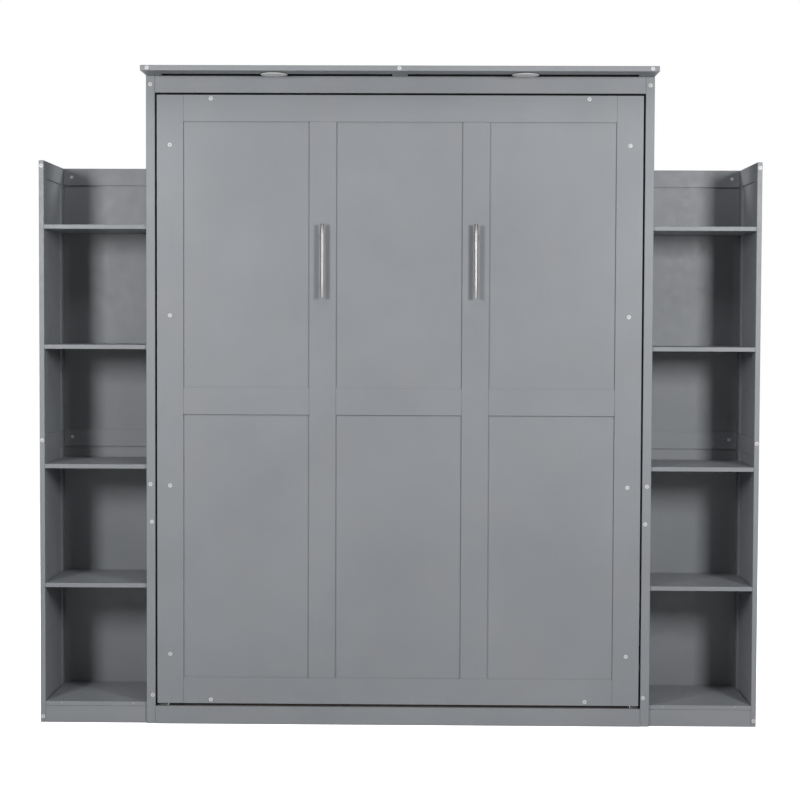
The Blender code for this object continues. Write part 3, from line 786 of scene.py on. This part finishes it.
def make_gap_shade_strips(felt):
    """Black felt strips as painted shade: above the top rail up to the crown's recesses, and in the
    gap round the door, where there would only be shade.
    """
    draw = random.Random(11)
    rail_low, rail_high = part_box("top_rail")
    crown_low, crown_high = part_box("crown_board")
    front = rail_low.y + SHADE_STRIP_INSET
    back = rail_high.y - SHADE_STRIP_INSET
    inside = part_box("cabinet_side_right")[0].x
    for word, side in SIDES:
        ends = sorted(side * x for x in (CROWN_CENTRE_HALF, crown_high.x - CROWN_END_STILE))
        low = (ends[0] + SHADE_STRIP_PLAY, front, rail_high.z)
        high = (ends[1] - SHADE_STRIP_PLAY, back, crown_low.z + CROWN_RECESS - SHADE_STRIP_PLAY)
        add_shade_strip(f"crown_gap_shade_strip_{word}", felt, low, high, CROWN_SHADE_STRIP_RADIUS, draw)
        ends = sorted((side * inside, side * (inside - DOOR_SHADE_STRIP_THICK)))
        low = (ends[0], front + DOOR_SHADE_STRIP_SETBACK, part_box("base_rail")[1].z + SHADE_STRIP_PLAY)
        high = (ends[1], back, rail_low.z - SHADE_STRIP_PLAY)
        add_shade_strip(f"door_side_shade_strip_{word}", felt, low, high, DOOR_SHADE_STRIP_RADIUS, draw)
    reach = inside - DOOR_SHADE_STRIP_THICK - SHADE_STRIP_PLAY
    low = (-reach, front + DOOR_SHADE_STRIP_SETBACK, rail_low.z - DOOR_SHADE_STRIP_THICK)
    high = (reach, back, rail_low.z)
    add_shade_strip("door_top_shade_strip", felt, low, high, DOOR_SHADE_STRIP_RADIUS, draw)


# ---- stage ---------------------------------------------------------------------------------------
def make_camera():
    yaw, pitch, roll = CAMERA_YAW, CAMERA_PITCH, CAMERA_ROLL
    ahead = Vector((
        math.cos(pitch) * math.sin(yaw),
        math.cos(pitch) * math.cos(yaw),
        -math.sin(pitch),
    ))
    right = Vector((math.cos(yaw), -math.sin(yaw), 0.0))
    up = right.cross(ahead)
    turned_right = math.cos(roll) * right + math.sin(roll) * up
    turned_up = -math.sin(roll) * right + math.cos(roll) * up
    data = bpy.data.cameras.new("camera")
    data.lens = CAMERA_LENS
    data.sensor_width = SENSOR
    data.clip_start = 0.05
    data.clip_end = 100.0
    camera = bpy.data.objects.new("camera", data)
    bpy.context.scene.collection.objects.link(camera)
    rows = [(turned_right[i], turned_up[i], -ahead[i]) for i in range(3)]
    camera.matrix_world = Matrix.Translation(CAMERA_PLACE) @ Matrix(rows).to_4x4()
    bpy.context.scene.camera = camera


def add_area_light(name, place, target, size, power):
    data = bpy.data.lights.new(name, "AREA")
    data.shape = "RECTANGLE"
    data.size, data.size_y = size
    data.energy = power
    light = bpy.data.objects.new(name, data)
    bpy.context.scene.collection.objects.link(light)
    light.location = place
    light.rotation_euler = (target - place).to_track_quat("-Z", "Y").to_euler()


def make_lights():
    for word, side in SIDES:
        place = Vector((side * KEY_X, KEY_Y, KEY_Z))
        add_area_light(f"key_{word}", place, KEY_TARGET, KEY_SIZE, KEY_POWER[word])
        place = Vector((side * REAR_X, REAR_Y, REAR_Z))
        add_area_light(f"rear_{word}", place, REAR_TARGET, REAR_SIZE, REAR_POWER)
    add_area_light("top_light", TOP_PLACE, TOP_TARGET, TOP_SIZE, TOP_POWER)


def make_floors():
    """The floor that is seen, one that lights the object, and a dark patch inside it: painted shade
    under the bed.
    """
    floor = make_floor("studio_floor", arc(FLOOR_RADIUS, 0.0, 352.5), FLOOR_HEIGHT, 1.0)
    floor.visible_diffuse = False
    half = arc(BOUNCE_RADIUS, 180.0, 360.0)
    bounce = make_floor("studio_floor_bounce", half, BOUNCE_HEIGHT, 0.0)
    bounce.location.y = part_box("base_rail")[0].y
    bounce.visible_camera = False
    bounce.visible_glossy = False
    low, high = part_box("base_rail")
    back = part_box("cabinet_side_left")[1].y
    under = [(low.x, low.y), (high.x, low.y), (high.x, back), (low.x, back)]
    # darker patch: painted shade under the bed
    make_floor("studio_floor_painted_shade_under_bed", under, UNDER_BED_HEIGHT, 0.0, tone=UNDER_BED_SHADE_TONE)


def make_world():
    """White where the camera sees it, and a weak fill light otherwise."""
    world = bpy.data.worlds.new("studio")
    world.use_nodes = True
    nodes = world.node_tree.nodes
    links = world.node_tree.links
    nodes.clear()
    output = nodes.new("ShaderNodeOutputWorld")
    mixer = nodes.new("ShaderNodeMixShader")
    path = nodes.new("ShaderNodeLightPath")
    fill = nodes.new("ShaderNodeBackground")
    seen = nodes.new("ShaderNodeBackground")
    fill.inputs["Strength"].default_value = FILL
    seen.inputs["Color"].default_value = colour(1.0, 1.0, 1.0)
    links.new(path.outputs["Is Camera Ray"], mixer.inputs["Fac"])
    links.new(fill.outputs[0], mixer.inputs[1])
    links.new(seen.outputs[0], mixer.inputs[2])
    links.new(mixer.outputs[0], output.inputs["Surface"])
    bpy.context.scene.world = world
    bpy.context.scene.view_settings.view_transform = "Standard"


# ---- dress the CAD nodes -------------------------------------------------------------------------
BOARD_EASE = 0.00035
LEG_EASE = 0.0018


def soften(obj, width, segments=2):
    """Rounds the sharp edges of a CAD node; its own mesh stays as it is."""
    weld = obj.modifiers.new("weld", "WELD")
    weld.merge_threshold = 0.00001
    bevel = obj.modifiers.new("bevel", "BEVEL")
    bevel.width = width
    bevel.segments = segments
    bevel.limit_method = "ANGLE"
    bevel.angle_limit = math.radians(30.0)


def dress_nodes():
    """Boards keep their CAD shape; the grain runs along each board's longest side."""
    paints = [make_paint(f"grey_paint_{'xyz'[axis]}", axis) for axis in range(3)]
    plain = {
        "dark_steel": make_powder_coat("black_powder_coat", (0.035, 0.035, 0.038)),
        "strut_black": make_powder_coat("strut_black_paint", (0.012, 0.012, 0.013), (0.22, 0.34)),
        "strut_chrome": make_steel("strut_rod_steel"),
        "light_lens": make_lens_plastic("light_lens_plastic"),
    }
    slots = {row["node"]: row["material_slot"] for row in frame["record"]["subparts"]}
    for name, obj in NODES.items():
        if obj.hide_render:
            continue
        if slots[name] in plain:
            material = plain[slots[name]]
        else:
            low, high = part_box(name)
            size = high - low
            material = paints[max(range(3), key=lambda axis: size[axis])]
            soften(obj, BOARD_EASE)
        if name.startswith("foot_leg"):
            soften(obj, LEG_EASE, 3)
        obj.data.materials.clear()
        obj.data.materials.append(material)


make_camera()
make_lights()
make_floors()
make_world()
make_all_caps(
    make_cap_plastic("white_cap_plastic", (0.64, 0.64, 0.64)),
    # paler copy of the white cap plastic: painted light on the back caps in shade
    make_cap_plastic("cap_plastic_painted_light", (0.90, 0.90, 0.90)),
    # darker copy of the white cap plastic: painted shade on the bottom caps
    make_cap_plastic("cap_plastic_painted_shade", (0.36, 0.36, 0.36)),
    # darker plastic for the cap sockets: painted shade in the dimple
    make_cap_plastic("cap_socket_painted_shade", (0.34, 0.34, 0.34)),
)
make_handles(make_steel("brushed_steel_bar"))
make_slats(make_slat_wood("slat_pine"))
make_straps(make_webbing("strap_webbing", (0.055, 0.055, 0.06)))
make_fixings(make_steel("zinc_screw"))
make_light_bodies(
    make_cap_plastic("puck_base_plastic", (0.10, 0.10, 0.105)),
    make_cap_plastic("puck_bezel_plastic", (0.86, 0.86, 0.86)),
)
# black felt strips: painted shade in the crown slot and in the gaps round the door
make_gap_shade_strips(make_shade_felt("painted_shade_felt"))
dress_nodes()
